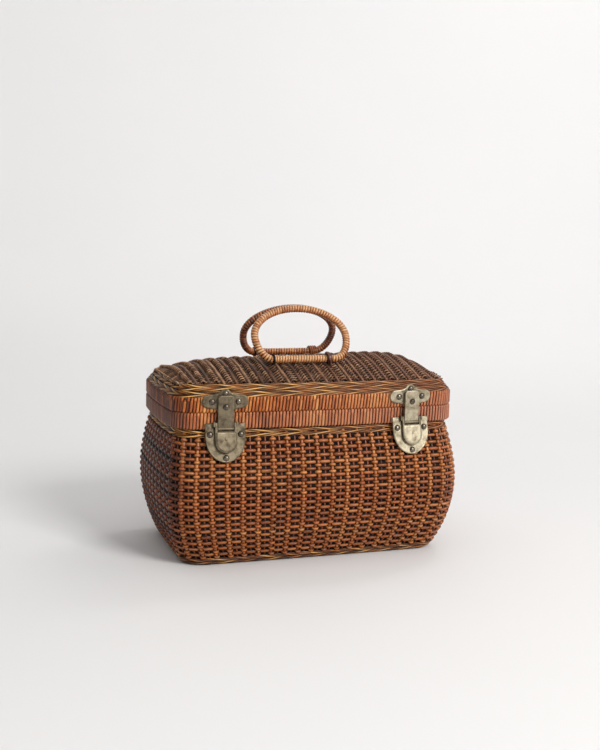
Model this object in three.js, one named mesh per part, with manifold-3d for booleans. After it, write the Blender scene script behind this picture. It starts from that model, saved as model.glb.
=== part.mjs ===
// Lidded wicker hand basket with two ring handles, two draw latches and two butt hinges.
// Millimetres, +Z up. The origin is the middle of the footprint, -Y is the front.
import * as THREE from 'three';
import Module from 'manifold-3d';
import { ParametricGeometry } from 'three/addons/geometries/ParametricGeometry.js';
import { mergeVertices } from 'three/addons/utils/BufferGeometryUtils.js';

// ---------------------------------------------------------------- driving dimensions
// The clearance between pieces that touch.
const GAP = 0.3;

// Plans: half length a, half depth b, corner radius, and how far the sides bow outwards.
const HOOP_PLAN = { a: 150, b: 83, corner: 20, bowFront: 6.8, bowEnd: 4.5 };
const NECK_PLAN = { a: 146, b: 80, corner: 20, bowFront: 6.8, bowEnd: 4.5 };
const BELLY_PLAN = { a: 155, b: 97, corner: 22, bowFront: 6, bowEnd: 6 };
const FOOT_PLAN = { a: 133, b: 69, corner: 22, bowFront: 0.5, bowEnd: 0.5 };

const SEAM_Z = 152;
const BODY_HOOP_HEIGHT = 15.8;
const LID_HOOP_HEIGHT = 14.4;
const HOOP_THICKNESS = 6;
const NECK_Z = SEAM_Z - BODY_HOOP_HEIGHT;
const BELLY_Z = 74;
const LOWER_CURVE_POWER = 0.77;

const FOOT_HEIGHT = 7;
const FOOT_THICKNESS = 7;
const WALL_THICKNESS = 3.5;
const WALL_LEVELS_BELOW_BELLY = 4;
const WALL_LEVELS_ABOVE_BELLY = 4;
const BASE_PANEL = { bottom: 2.5, thickness: 4 };
const TOP_BRAID_HEIGHT = 7.7;
const BRAID_THICKNESS = 5;
const BRAID_BULGE = 0.7;

const LID_HOOP_TOP = SEAM_Z + GAP + LID_HOOP_HEIGHT;
const LID_EDGE_Z = 178.8;
const LID_EDGE_INSET = 9;
const DOME_HEIGHT = 17.5;
const DOME_END_POWER = 7;
const DOME_SIDE_POWER = 1.5;
const DOME_LEAN = 0.2;
const LID_THICKNESS = 3.5;
const LID_SEAT_WIDTH = 4.5;
const LID_RINGS = [0, 0.3, 0.55, 0.75, 0.88, 0.95, 1];

const HANDLE = { centreX: -4, pivotY: 33, pivotZ: 196.2, tubeRadius: 3.9, halfWidth: 49.1, height: 56.8 };
const HANDLE_CORNER = { width: 17, height: 25 };
const HANDLE_TOP_Y = 4.1;
const HANDLE_TUBE_SIDES = 8;
const BINDING = { ringRadius: 5.6, wireRadius: 1.1, offsetX: 30 };

const LATCH_X = { left: -99, right: 92.5 };
const LATCH_TILT = THREE.MathUtils.degToRad(14);
const PLATE = 1.2;
const RIVET = { headRadius: 3.1, headHeight: 2.2, shankRadius: 1.2, holeRadius: 1.5 };
const LATCH_BASE = { halfWidth: 19.5, topDrop: 10, straight: 13.5, length: 37.2 };
const LEVER = { halfWidth: 10.3, armInside: 8.3, top: 0.1, notch: -8.3, bottom: -28.4, back: 2.2, front: 5, plate: 1.6 };
const LEVER_PIVOT = { out: 3.5, z: -1.4, trunnionRadius: 0.8, trunnionTip: 12.1 };
const STRAP_PIVOT = { out: 3.5, z: -5.4, pinRadius: 0.7, barrelRadius: 1.9, boreRadius: 1 };
const STRAP = { halfWidth: 7.7, thickness: 1.2, top: 17.2, lipTop: 15, lipTip: 2, lipHeight: 1.2, studZ: 6.4 };
const KEEPER_LUG = { halfWidth: 5, out: 4.2, bottom: 10, top: 13.4 };

const HINGE = { x: 72, faceY: 82.1, leaf: 1, halfWidth: 12, knuckleOut: 2.6, knuckleRadius: 2.3 };
const HINGE_LEAF = { rootZ: 3, tipZ: 13.2, pinRadius: 1, boreRadius: 1.3, rivetX: 8, rivetZ: 8.4 };
const HINGE_AXIS_Z = SEAM_Z + GAP / 2;

// ---------------------------------------------------------------- materials
const finish = (color, roughness, metalness = 0) =>
  new THREE.MeshStandardMaterial({ color, roughness, metalness });
const WEAVE = finish('#8a4a26', 0.6);
const LID_WEAVE = finish('#5c4537', 0.65);
const BRAID = finish('#a9763a', 0.55);
const HOOP_CANE = finish('#a35526', 0.45);
const HANDLE_CANE = finish('#b4713c', 0.4);
const BINDING_CANE = finish('#5a3322', 0.6);
const NICKEL = finish('#a8a287', 0.4, 0.9);
const RIVET_METAL = finish('#6f695f', 0.35, 0.9);

// ---------------------------------------------------------------- solids
const wasm = await Module();
wasm.setup();

/** Merges the seams of a surface, drops its empty triangles and turns its faces outwards. */
function closed(geometry) {
  geometry.deleteAttribute('normal');
  geometry.deleteAttribute('uv');
  const merged = mergeVertices(geometry, 1e-4);
  const corners = merged.index.array;
  const place = merged.attributes.position;
  const point = (i) => new THREE.Vector3().fromBufferAttribute(place, i);
  const kept = [];
  let volume = 0;
  for (let i = 0; i < corners.length; i += 3) {
    const [a, b, c] = [corners[i], corners[i + 1], corners[i + 2]];
    if (a === b || b === c || c === a) continue;
    kept.push([a, b, c]);
    volume += point(a).dot(point(b).cross(point(c)));
  }
  merged.setIndex(kept.flatMap(([a, b, c]) => (volume < 0 ? [a, c, b] : [a, b, c])));
  return merged;
}

function toManifold(geometry) {
  const shape = closed(geometry);
  return new wasm.Manifold(new wasm.Mesh({
    numProp: 3,
    vertProperties: new Float32Array(shape.attributes.position.array),
    triVerts: new Uint32Array(shape.index.array),
  }));
}

function fromManifold(manifold) {
  const mesh = manifold.getMesh();
  const geometry = new THREE.BufferGeometry();
  geometry.setAttribute('position', new THREE.BufferAttribute(mesh.vertProperties, 3));
  geometry.setIndex(Array.from(mesh.triVerts));
  return geometry;
}

const join = (...shapes) => fromManifold(shapes.map(toManifold).reduce((a, b) => a.add(b)));
const cut = (shape, ...tools) =>
  fromManifold(tools.map(toManifold).reduce((a, b) => a.subtract(b), toManifold(shape)));

/** A box from its lowest to its highest corner. */
function block([x0, y0, z0], [x1, y1, z1]) {
  return new THREE.BoxGeometry(x1 - x0, y1 - y0, z1 - z0)
    .translate((x0 + x1) / 2, (y0 + y1) / 2, (z0 + z1) / 2);
}

/** A round bar along X. */
function barX(radius, x0, x1, y, z, sides = 12) {
  return new THREE.CylinderGeometry(radius, radius, x1 - x0, sides)
    .rotateZ(Math.PI / 2).translate((x0 + x1) / 2, y, z);
}

/** A flat plate: the shape's y becomes z, and its thickness grows towards the front. */
function plateFrom(shape, thickness, out = 0) {
  return new THREE.ExtrudeGeometry(shape, { depth: thickness, bevelEnabled: false, curveSegments: 6 })
    .rotateX(Math.PI / 2).translate(0, -out, 0);
}

function roundHole(x, y, radius) {
  return new THREE.Path().absarc(x, y, radius, 0, Math.PI * 2, true);
}

// ---------------------------------------------------------------- plans and rings
const FRONT_STEPS = 6;
const END_STEPS = 4;
const CORNER_STEPS = 3;
const MIN_CORNER = 5;

/** The closed plan outline, anticlockwise from the front right corner. */
function outline(plan, inset = 0) {
  const halfX = plan.a - plan.bowEnd - inset;
  const halfY = plan.b - plan.bowFront - inset;
  const r = Math.max(plan.corner - inset, MIN_CORNER);
  const cornerPoint = (q, angle) => new THREE.Vector2(
    (q < 2 ? 1 : -1) * (halfX - r) + r * Math.cos(angle),
    (q === 1 || q === 2 ? 1 : -1) * (halfY - r) + r * Math.sin(angle),
  );
  const points = [];
  for (let q = 0; q < 4; q++) {
    for (let k = 0; k <= CORNER_STEPS; k++) {
      points.push(cornerPoint(q, (q - 1 + k / CORNER_STEPS) * Math.PI / 2));
    }
    const start = points[points.length - 1];
    const end = cornerPoint((q + 1) % 4, q * Math.PI / 2);
    const steps = q % 2 === 0 ? END_STEPS : FRONT_STEPS;
    for (let k = 1; k < steps; k++) points.push(start.clone().lerp(end, k / steps));
  }
  return points.map((p) => new THREE.Vector2(
    p.x * (1 + (plan.bowEnd / halfX) * (1 - (p.y / halfY) ** 2)),
    p.y * (1 + (plan.bowFront / halfY) * (1 - (p.x / halfX) ** 2)),
  ));
}

/** A closed surface through a list of closed loops, the last joined to the first. */
function loft(loops) {
  const stations = loops[0].length;
  const surface = (u, v, target) => {
    const loop = loops[Math.round(v * loops.length) % loops.length];
    target.copy(loop[Math.round(u * stations) % stations]);
  };
  return closed(new ParametricGeometry(surface, stations, loops.length));
}

/** A ring around the basket whose section is a list of [inset, z] points. */
function ringSolid(section, planAt) {
  return loft(section.map(([inset, z]) =>
    outline(planAt(z), inset).map((p) => new THREE.Vector3(p.x, p.y, z))));
}

function mixPlans(from, to, share) {
  const plan = {};
  for (const key of ['a', 'b', 'corner', 'bowFront', 'bowEnd']) {
    plan[key] = THREE.MathUtils.lerp(from[key], to[key], share);
  }
  return plan;
}

/** The plan of the woven wall at height z: it swells to the belly and draws in to the neck. */
function wallPlan(z) {
  if (z <= BELLY_Z) {
    const share = Math.sin((Math.max(z, 0) / BELLY_Z) * Math.PI / 2) ** LOWER_CURVE_POWER;
    return mixPlans(FOOT_PLAN, BELLY_PLAN, share);
  }
  const share = 1 - Math.cos(((z - BELLY_Z) / (NECK_Z - BELLY_Z)) * Math.PI / 2);
  return mixPlans(BELLY_PLAN, NECK_PLAN, share);
}

// ---------------------------------------------------------------- body
function footBorder() {
  const top = FOOT_HEIGHT;
  return ringSolid([
    [1.5, 0], [0, 2.5], [0, 5], [0.8, top], [FOOT_THICKNESS, top], [FOOT_THICKNESS, 0],
  ], wallPlan);
}

function wovenBase() {
  const edge = outline(wallPlan(0), FOOT_THICKNESS + GAP);
  return new THREE.ExtrudeGeometry(new THREE.Shape(edge), { depth: BASE_PANEL.thickness, bevelEnabled: false })
    .translate(0, 0, BASE_PANEL.bottom);
}

function bodyWall() {
  const bottom = FOOT_HEIGHT + GAP;
  const top = NECK_Z - TOP_BRAID_HEIGHT - 2 * GAP;
  const levels = [];
  for (let k = 0; k < WALL_LEVELS_BELOW_BELLY; k++) {
    levels.push(THREE.MathUtils.lerp(bottom, BELLY_Z, (k / WALL_LEVELS_BELOW_BELLY) ** 1.5));
  }
  for (let k = 0; k <= WALL_LEVELS_ABOVE_BELLY; k++) {
    levels.push(THREE.MathUtils.lerp(BELLY_Z, top, k / WALL_LEVELS_ABOVE_BELLY));
  }
  const outside = levels.map((z) => [0, z]);
  const inside = levels.map((z) => [WALL_THICKNESS, z]).reverse();
  return ringSolid([...outside, ...inside], wallPlan);
}

function bodyTopBraid() {
  const top = NECK_Z - GAP;
  const bottom = top - TOP_BRAID_HEIGHT;
  return ringSolid([
    [0.5, bottom], [-BRAID_BULGE, (bottom + top) / 2], [0.5, top], [BRAID_THICKNESS, top], [BRAID_THICKNESS, bottom],
  ], wallPlan);
}

function hoop(bottom, height) {
  const top = bottom + height;
  const round = 1.3;
  return ringSolid([
    [round, bottom], [0, bottom + round], [0, top - round], [round, top],
    [HOOP_THICKNESS, top], [HOOP_THICKNESS, bottom],
  ], () => HOOP_PLAN);
}

// ---------------------------------------------------------------- lid
const LID_SLOPE = LID_EDGE_INSET / (LID_EDGE_Z - LID_HOOP_TOP);
const lidInset = (z) => (z - LID_HOOP_TOP) * LID_SLOPE;
const LID_ROW_HEIGHT = (LID_EDGE_Z - LID_HOOP_TOP - 2 * GAP) / 2;

/** One braided row of the lid border, climbing inwards. */
function lidBraid(row) {
  const bottom = LID_HOOP_TOP + GAP + row * (LID_ROW_HEIGHT + GAP);
  const top = bottom + LID_ROW_HEIGHT;
  const middle = (bottom + top) / 2;
  return ringSolid([
    [lidInset(bottom) + 0.7, bottom], [lidInset(middle), middle], [lidInset(top) + 0.7, top],
    [lidInset(top) + BRAID_THICKNESS, top], [lidInset(bottom) + BRAID_THICKNESS, bottom],
  ], () => HOOP_PLAN);
}

/** Height of the lid's upper surface: a vault across the lid that drops away at both ends. */
function lidSurfaceZ(x, y) {
  const halfX = HOOP_PLAN.a - HOOP_PLAN.bowEnd - LID_EDGE_INSET;
  const halfY = HOOP_PLAN.b - HOOP_PLAN.bowFront - LID_EDGE_INSET;
  const edgeX = halfX + HOOP_PLAN.bowEnd * (1 - (y / halfY) ** 2);
  const edgeY = halfY + HOOP_PLAN.bowFront * (1 - (x / halfX) ** 2);
  const along = Math.min(Math.abs(x) / edgeX, 1) ** DOME_END_POWER;
  const across = Math.min(Math.abs(y) / edgeY, 1) ** DOME_SIDE_POWER;
  return LID_EDGE_Z + GAP + DOME_HEIGHT * (1 + DOME_LEAN * x / halfX) * (1 - along) * (1 - across);
}

function lidPanel() {
  const edge = outline(HOOP_PLAN, LID_EDGE_INSET + 0.5);
  const seat = outline(HOOP_PLAN, LID_EDGE_INSET + 0.5 + LID_SEAT_WIDTH);
  const upper = LID_RINGS.map((s) => edge.map(({ x, y }) =>
    new THREE.Vector3(x * s, y * s, s === 1 ? LID_EDGE_Z + GAP : lidSurfaceZ(x * s, y * s))));
  const lower = LID_RINGS.map((s) => seat.map(({ x, y }) => new THREE.Vector3(
    x * s, y * s, s === 1 ? LID_EDGE_Z + GAP : Math.max(LID_EDGE_Z + GAP, lidSurfaceZ(x * s, y * s) - LID_THICKNESS),
  ))).reverse();
  const shell = loft([...upper, ...lower]);
  return cut(shell, ...bindingPlaces().map(({ x, y }) => bindingRing(BINDING.wireRadius + GAP, x, y)));
}

// ---------------------------------------------------------------- handles
function bindingPlaces() {
  return [-1, 1].flatMap((front) => [-1, 1].map((side) => (
    { x: HANDLE.centreX + side * BINDING.offsetX, y: front * HANDLE.pivotY })));
}

/** A loop of cane around a handle's straight run. */
function bindingRing(wireRadius, x, y) {
  return new THREE.TorusGeometry(BINDING.ringRadius, wireRadius, 6, 14)
    .rotateY(Math.PI / 2).translate(x, y, HANDLE.pivotZ);
}

/** The handle's centre line in its own plane: a straight run, two corners and a low arch. */
function handleLine() {
  const { halfWidth, height } = HANDLE;
  const { width: cw, height: ch } = HANDLE_CORNER;
  const run = halfWidth - cw;
  const path = new THREE.Path();
  path.moveTo(-run, 0);
  path.lineTo(run, 0);
  path.absellipse(run, ch, cw, ch, -Math.PI / 2, 0, false);
  path.absellipse(0, ch, halfWidth, height - ch, 0, Math.PI, false);
  path.absellipse(-run, ch, cw, ch, Math.PI, Math.PI * 1.5, false);
  return path;
}

/** A closed ring handle in the X-Z plane, its straight run on the X axis. */
function handle() {
  const line = handleLine();
  const steps = 34;
  const loops = [];
  for (let i = 0; i < steps; i++) {
    const at = line.getPointAt(i / steps);
    const tangent = line.getTangentAt(i / steps);
    const side = new THREE.Vector2(-tangent.y, tangent.x);
    loops.push(Array.from({ length: HANDLE_TUBE_SIDES }, (_, k) => {
      const angle = (k / HANDLE_TUBE_SIDES) * Math.PI * 2;
      const swing = HANDLE.tubeRadius * Math.cos(angle);
      return new THREE.Vector3(at.x + side.x * swing, HANDLE.tubeRadius * Math.sin(angle), at.y + side.y * swing);
    }));
  }
  return loft(loops);
}

// ---------------------------------------------------------------- latches
/** A domed rivet on the Y axis, its head towards the front and its underside at y = 0. */
function rivet(shank) {
  const { headRadius, headHeight, shankRadius } = RIVET;
  const profile = [
    [0, -shank], [shankRadius, -shank], [shankRadius, 0], [headRadius, 0],
    [headRadius * 0.9, headHeight * 0.45], [headRadius * 0.55, headHeight * 0.85], [0, headHeight],
  ].map(([r, h]) => new THREE.Vector2(r, h));
  return new THREE.LatheGeometry(profile, 10).rotateX(Math.PI);
}

const KEEPER_RIVETS = [[-12.8, 11], [12.8, 11], [0, 18.8]];
const BASE_RIVETS = [[-15, -10.6], [15, -10.6], [0, -33.1]];

/** The three-lobed keeper plate with the lug that the strap hooks over. */
function keeperPlate() {
  const shape = new THREE.Shape();
  shape.moveTo(-6.5, 2);
  shape.lineTo(6.5, 2);
  shape.quadraticCurveTo(10, 4.4, 16, 4.7);
  shape.absarc(16, 11.1, 6.4, -Math.PI / 2, Math.PI / 2, false);
  shape.quadraticCurveTo(8.5, 17.4, 5.2, 20);
  shape.absarc(0, 17.4, 5.7, 0.45, Math.PI - 0.45, false);
  shape.quadraticCurveTo(-8.5, 17.4, -16, 17.5);
  shape.absarc(-16, 11.1, 6.4, Math.PI / 2, Math.PI * 1.5, false);
  shape.quadraticCurveTo(-10, 4.4, -6.5, 2);
  shape.holes = KEEPER_RIVETS.map(([x, z]) => roundHole(x, z, RIVET.holeRadius));
  const { halfWidth, out, bottom, top } = KEEPER_LUG;
  return join(
    plateFrom(shape, PLATE, GAP + 0.1),
    block([-halfWidth, -out, bottom], [halfWidth, -PLATE, top]),
  );
}

/** The shield-shaped base plate with two ears that carry the lever. */
function latchBase() {
  const { halfWidth, straight, length } = LATCH_BASE;
  const shape = new THREE.Shape();
  shape.moveTo(halfWidth, 0);
  shape.lineTo(-halfWidth, 0);
  shape.lineTo(-halfWidth, -straight);
  shape.absellipse(0, -straight, halfWidth, length - straight, Math.PI, Math.PI * 2, false);
  shape.lineTo(halfWidth, 0);
  shape.holes = BASE_RIVETS.map(([x, z]) => roundHole(x, z, RIVET.holeRadius));
  const inside = LEVER.halfWidth + GAP;
  const ear = (side) => block(
    [Math.min(side * inside, side * (inside + PLATE)), -LEVER.front - GAP, LEVER_PIVOT.z - 2.3],
    [Math.max(side * inside, side * (inside + PLATE)), -PLATE / 2, LEVER_PIVOT.z + 2.3],
  );
  const bore = barX(LEVER_PIVOT.trunnionRadius + GAP, -14, 14, -LEVER_PIVOT.out, LEVER_PIVOT.z);
  return cut(join(plateFrom(shape, PLATE), ear(-1), ear(1)), bore);
}

/** The U-shaped lever: a plate with two arms, a trunnion on each arm and a bore for the strap pin. */
function lever() {
  const { halfWidth, armInside, top, notch, bottom, back, front, plate } = LEVER;
  const shape = new THREE.Shape();
  const bend = bottom + halfWidth;
  shape.moveTo(halfWidth, notch);
  shape.lineTo(-halfWidth, notch);
  shape.lineTo(-halfWidth, bend);
  shape.absarc(0, bend, halfWidth, Math.PI, Math.PI * 2, false);
  const face = plateFrom(shape, plate, front - plate);
  const arm = (side) => block(
    [Math.min(side * armInside, side * halfWidth), -front, notch - 2],
    [Math.max(side * armInside, side * halfWidth), -back, top],
  );
  const trunnion = (side) => barX(
    LEVER_PIVOT.trunnionRadius,
    Math.min(side * armInside, side * LEVER_PIVOT.trunnionTip),
    Math.max(side * armInside, side * LEVER_PIVOT.trunnionTip),
    -LEVER_PIVOT.out, LEVER_PIVOT.z,
  );
  const bore = barX(STRAP_PIVOT.boreRadius, -14, 14, -STRAP_PIVOT.out, STRAP_PIVOT.z);
  return cut(join(face, arm(-1), arm(1), trunnion(-1), trunnion(1)), bore);
}

/** Where a point of the tilted base plate's frame lies in the latch's upright frame: [out, z]. */
function untilt({ out, z }) {
  const c = Math.cos(LATCH_TILT);
  const s = Math.sin(LATCH_TILT);
  return [GAP + 0.1 + out * c - z * s, -LATCH_BASE.topDrop + z * c + out * s];
}

const [STRAP_AXIS_OUT, STRAP_AXIS_Z] = untilt(STRAP_PIVOT);
const STRAP_BACK = STRAP_AXIS_OUT - STRAP.thickness / 2 + 0.1;

/** The strap: a plate with a rolled lower end for its pin and a lip that hooks over the keeper lug. */
function strap() {
  const { halfWidth, thickness, top, lipTop, lipTip, lipHeight, studZ } = STRAP;
  const shape = new THREE.Shape();
  shape.moveTo(-halfWidth, STRAP_AXIS_Z);
  shape.lineTo(halfWidth, STRAP_AXIS_Z);
  shape.lineTo(halfWidth, top - 3);
  shape.quadraticCurveTo(halfWidth, top, halfWidth - 3.5, top);
  shape.lineTo(-halfWidth + 3.5, top);
  shape.quadraticCurveTo(-halfWidth, top, -halfWidth, top - 3);
  shape.holes = [roundHole(0, studZ, RIVET.holeRadius)];
  const lip = block([-4.5, -STRAP_BACK - thickness / 2, lipTop - lipHeight], [4.5, -lipTip, lipTop]);
  const barrel = barX(STRAP_PIVOT.barrelRadius, -halfWidth, halfWidth, -STRAP_AXIS_OUT, STRAP_AXIS_Z);
  const bore = barX(STRAP_PIVOT.boreRadius, -14, 14, -STRAP_AXIS_OUT, STRAP_AXIS_Z);
  return cut(join(plateFrom(shape, thickness, STRAP_BACK), lip, barrel), bore);
}

// ---------------------------------------------------------------- hinges
/** One hinge leaf: upwards for the lid (way = 1), downwards for the body (way = -1). */
function hingeLeaf(way) {
  const { halfWidth, leaf, knuckleOut, knuckleRadius } = HINGE;
  const { rootZ, tipZ, boreRadius, rivetX, rivetZ } = HINGE_LEAF;
  const third = halfWidth / 3;
  const holes = [-rivetX, rivetX].map((x) => barX(RIVET.holeRadius, -2, 2, 0, 0)
    .rotateZ(Math.PI / 2).translate(x, leaf / 2, way * rivetZ));
  const plate = block([-halfWidth, 0, way > 0 ? rootZ : -tipZ], [halfWidth, leaf, way > 0 ? tipZ : -rootZ]);
  const spans = way > 0 ? [[-third + GAP, third - GAP]] : [[-halfWidth, -third], [third, halfWidth]];
  const knuckles = spans.flatMap(([x0, x1]) => [
    block([x0, 0, way > 0 ? 0 : -rootZ - 1], [x1, leaf, way > 0 ? rootZ + 1 : 0]),
    barX(knuckleRadius, x0, x1, knuckleOut, 0),
  ]);
  const bore = barX(boreRadius, -halfWidth - 1, halfWidth + 1, knuckleOut, 0);
  return cut(join(plate, ...knuckles), bore, ...holes);
}

// ---------------------------------------------------------------- assembly
const basket = new THREE.Group();

function add(parent, name, geometry, material) {
  const mesh = new THREE.Mesh(geometry, material);
  mesh.name = name;
  parent.add(mesh);
  return mesh;
}

function group(parent, position, rotation = [0, 0, 0]) {
  const child = new THREE.Group();
  child.position.set(...position);
  child.rotation.set(...rotation);
  parent.add(child);
  return child;
}

add(basket, 'foot_border', footBorder(), BRAID);
add(basket, 'woven_base', wovenBase(), WEAVE);
add(basket, 'body_wall', bodyWall(), WEAVE);
add(basket, 'body_top_braid', bodyTopBraid(), BRAID);
add(basket, 'body_hoop', hoop(NECK_Z, BODY_HOOP_HEIGHT), HOOP_CANE);
add(basket, 'lid_hoop', hoop(SEAM_Z + GAP, LID_HOOP_HEIGHT), HOOP_CANE);
add(basket, 'lid_braid_lower', lidBraid(0), BRAID);
add(basket, 'lid_braid_upper', lidBraid(1), BRAID);
add(basket, 'lid_panel', lidPanel(), LID_WEAVE);

const lean = Math.asin((HANDLE.pivotY - HANDLE_TOP_Y) / HANDLE.height);
for (const [name, way] of [['front', -1], ['back', 1]]) {
  const y = way * HANDLE.pivotY;
  const holder = group(basket, [HANDLE.centreX, y, HANDLE.pivotZ], [way * lean, 0, 0]);
  add(holder, `${name}_handle`, handle(), HANDLE_CANE);
  for (const [side, sign] of [['left', -1], ['right', 1]]) {
    const x = HANDLE.centreX + sign * BINDING.offsetX;
    add(basket, `${name}_handle_binding_${side}`, bindingRing(BINDING.wireRadius, x, y), BINDING_CANE);
  }
}

/** The front of the hoops at x: where it is, and how far it turns from the X axis. */
function hoopFront(x) {
  const halfX = HOOP_PLAN.a - HOOP_PLAN.bowEnd;
  const y = -(HOOP_PLAN.b - HOOP_PLAN.bowFront) - HOOP_PLAN.bowFront * (1 - (x / halfX) ** 2);
  return { y, turn: Math.atan(2 * HOOP_PLAN.bowFront * x / halfX ** 2) };
}

for (const [side, x] of Object.entries(LATCH_X)) {
  const { y, turn } = hoopFront(x);
  const upright = group(basket, [x, y, SEAM_Z], [0, 0, turn]);
  const tilted = group(upright, [0, -GAP - 0.1, -LATCH_BASE.topDrop], [-LATCH_TILT, 0, 0]);
  add(upright, `${side}_keeper_plate`, keeperPlate(), NICKEL);
  add(tilted, `${side}_latch_base`, latchBase(), NICKEL);
  add(tilted, `${side}_lever`, lever(), NICKEL);
  add(upright, `${side}_strap`, strap(), NICKEL);
  const pinHalf = LEVER.halfWidth - 0.2;
  add(upright, `${side}_strap_pin`, barX(STRAP_PIVOT.pinRadius, -pinHalf, pinHalf, -STRAP_AXIS_OUT, STRAP_AXIS_Z),
    RIVET_METAL);
  const stud = add(upright, `${side}_strap_stud`, closed(rivet(STRAP.thickness)), RIVET_METAL);
  stud.position.set(0, -STRAP_BACK - STRAP.thickness - GAP, STRAP.studZ);
  KEEPER_RIVETS.forEach(([rx, rz], i) => {
    const mesh = add(upright, `${side}_keeper_rivet_${i + 1}`, closed(rivet(PLATE)), RIVET_METAL);
    mesh.position.set(rx, -PLATE - 2 * GAP - 0.1, rz);
  });
  BASE_RIVETS.forEach(([rx, rz], i) => {
    const mesh = add(tilted, `${side}_latch_rivet_${i + 1}`, closed(rivet(PLATE)), RIVET_METAL);
    mesh.position.set(rx, -PLATE - GAP, rz);
  });
}

for (const [side, sign] of [['left', -1], ['right', 1]]) {
  const holder = group(basket, [sign * HINGE.x, HINGE.faceY, HINGE_AXIS_Z]);
  add(holder, `${side}_hinge_body_leaf`, hingeLeaf(-1), NICKEL);
  add(holder, `${side}_hinge_lid_leaf`, hingeLeaf(1), NICKEL);
  add(holder, `${side}_hinge_pin`,
    barX(HINGE_LEAF.pinRadius, -HINGE.halfWidth - 0.8, HINGE.halfWidth + 0.8, HINGE.knuckleOut, 0), RIVET_METAL);
  for (const [leafName, way] of [['body', -1], ['lid', 1]]) {
    [-HINGE_LEAF.rivetX, HINGE_LEAF.rivetX].forEach((rx, i) => {
      const mesh = add(holder, `${side}_hinge_${leafName}_rivet_${i + 1}`, closed(rivet(HINGE.leaf)), RIVET_METAL);
      mesh.rotation.z = Math.PI;
      mesh.position.set(rx, HINGE.leaf + GAP, way * HINGE_LEAF.rivetZ);
    });
  }
}

export default basket;
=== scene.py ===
"""A lidded wicker hand basket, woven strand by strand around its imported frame."""
import math

import bpy
import numpy as np
from mathutils import Matrix, Vector


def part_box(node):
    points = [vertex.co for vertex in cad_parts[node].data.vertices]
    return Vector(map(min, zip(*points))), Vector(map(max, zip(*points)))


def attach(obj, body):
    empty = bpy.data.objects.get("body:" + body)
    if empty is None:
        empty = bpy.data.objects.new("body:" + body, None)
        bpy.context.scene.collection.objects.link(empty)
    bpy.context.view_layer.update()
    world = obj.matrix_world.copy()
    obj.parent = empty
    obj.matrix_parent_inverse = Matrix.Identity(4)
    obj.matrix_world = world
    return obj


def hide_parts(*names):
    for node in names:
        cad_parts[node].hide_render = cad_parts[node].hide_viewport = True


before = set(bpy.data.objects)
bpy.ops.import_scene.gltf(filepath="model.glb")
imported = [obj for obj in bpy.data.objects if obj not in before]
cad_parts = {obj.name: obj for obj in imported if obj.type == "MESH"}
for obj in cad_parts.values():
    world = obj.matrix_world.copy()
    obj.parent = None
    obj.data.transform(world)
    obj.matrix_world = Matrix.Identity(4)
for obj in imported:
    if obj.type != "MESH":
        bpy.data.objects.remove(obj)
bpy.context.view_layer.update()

rng = np.random.default_rng(7)
MM = 0.001
TAU = 2 * math.pi


# ---- dimensions, in millimetres
def span(node):
    """The lowest and highest corner of a CAD node."""
    low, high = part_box(node)
    return np.array(low) / MM, np.array(high) / MM


def half_size(node):
    low, high = span(node)
    return (high[0] - low[0]) / 2, (high[1] - low[1]) / 2


WALL_LOW, WALL_HIGH = span("body_wall")
HOOP_A, HOOP_B = half_size("body_hoop")
BELLY_A, BELLY_B = half_size("body_wall")
NECK_Z = span("body_hoop")[0][2]
BELLY_Z = 74.0
LOWER_CURVE_POWER = 0.77

# Plans: half length, half depth, corner radius, how far the front and the ends bow out.
HOOP_PLAN = np.array([HOOP_A, HOOP_B, 20, 6.8, 4.5])
NECK_PLAN = np.array([HOOP_A - 4, HOOP_B - 3, 20, 6.8, 4.5])
BELLY_PLAN = np.array([BELLY_A, BELLY_B, 22, 6, 6])
FOOT_PLAN = np.array([133, 69, 22, 0.5, 0.5])

FRONT_INTERVALS = 19
END_INTERVALS = 12
ROW_PITCH = 3.25
WEAVE_INSET = 2.9

LID_EDGE_Z = span("lid_braid_upper")[1][2] - 0.5
LID_EDGE_INSET = 9.5
DOME_HEIGHT = 17.5
DOME_END_POWER = 7
DOME_SIDE_POWER = 1.5
DOME_LEAN = 0.2
LID_INTERVALS = 21
LID_ROW_PITCH = 2.3
LID_HALF_X = HOOP_PLAN[0] - HOOP_PLAN[4] - LID_EDGE_INSET
LID_HALF_Y = HOOP_PLAN[1] - HOOP_PLAN[3] - LID_EDGE_INSET
LID_SIZE = (LID_HALF_X, LID_HALF_Y, 12, HOOP_PLAN[4], HOOP_PLAN[3])

HANDLE_X = -4.0
HANDLE_Y = 33.0
HANDLE_Z = 196.2
HANDLE_HALF_WIDTH = 49.1
HANDLE_HEIGHT = 56.8
HANDLE_CORNER = (17.0, 25.0)
HANDLE_TOP_Y = 4.1
HANDLE_RADIUS = 3.9
HANDLE_WRAP_PITCH = 2.85
BINDING_OFFSET = 30.0


# ---- plans and surfaces
def plan_breaks(plan):
    """Where the straights and corners of a plan begin, as shares of its perimeter from the front's middle."""
    a, b, r, bow_front, bow_end = plan
    along = a - bow_end - r
    across = 2 * (b - bow_front - r)
    corner = r * math.pi / 2
    lengths = [along, corner, across, corner, 2 * along, corner, across, corner, along]
    sums = np.concatenate([[0], np.cumsum(lengths)])
    return sums / sums[-1], sums[-1]


BREAKS, BELLY_PERIMETER = plan_breaks(BELLY_PLAN)
CENTRE_X = [0, 1, 1, 1, 1, -1, -1, -1, -1, 0]
CENTRE_Y = [-1, -1, -1, 1, 1, 1, 1, -1, -1, -1]
QUARTERS = [-1, -1, 0, 0, 1, 1, 2, 2, 3, 3]
CORNER_MIDDLES = [(BREAKS[i] + BREAKS[i + 1]) / 2 for i in (1, 3, 5, 7)]


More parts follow.
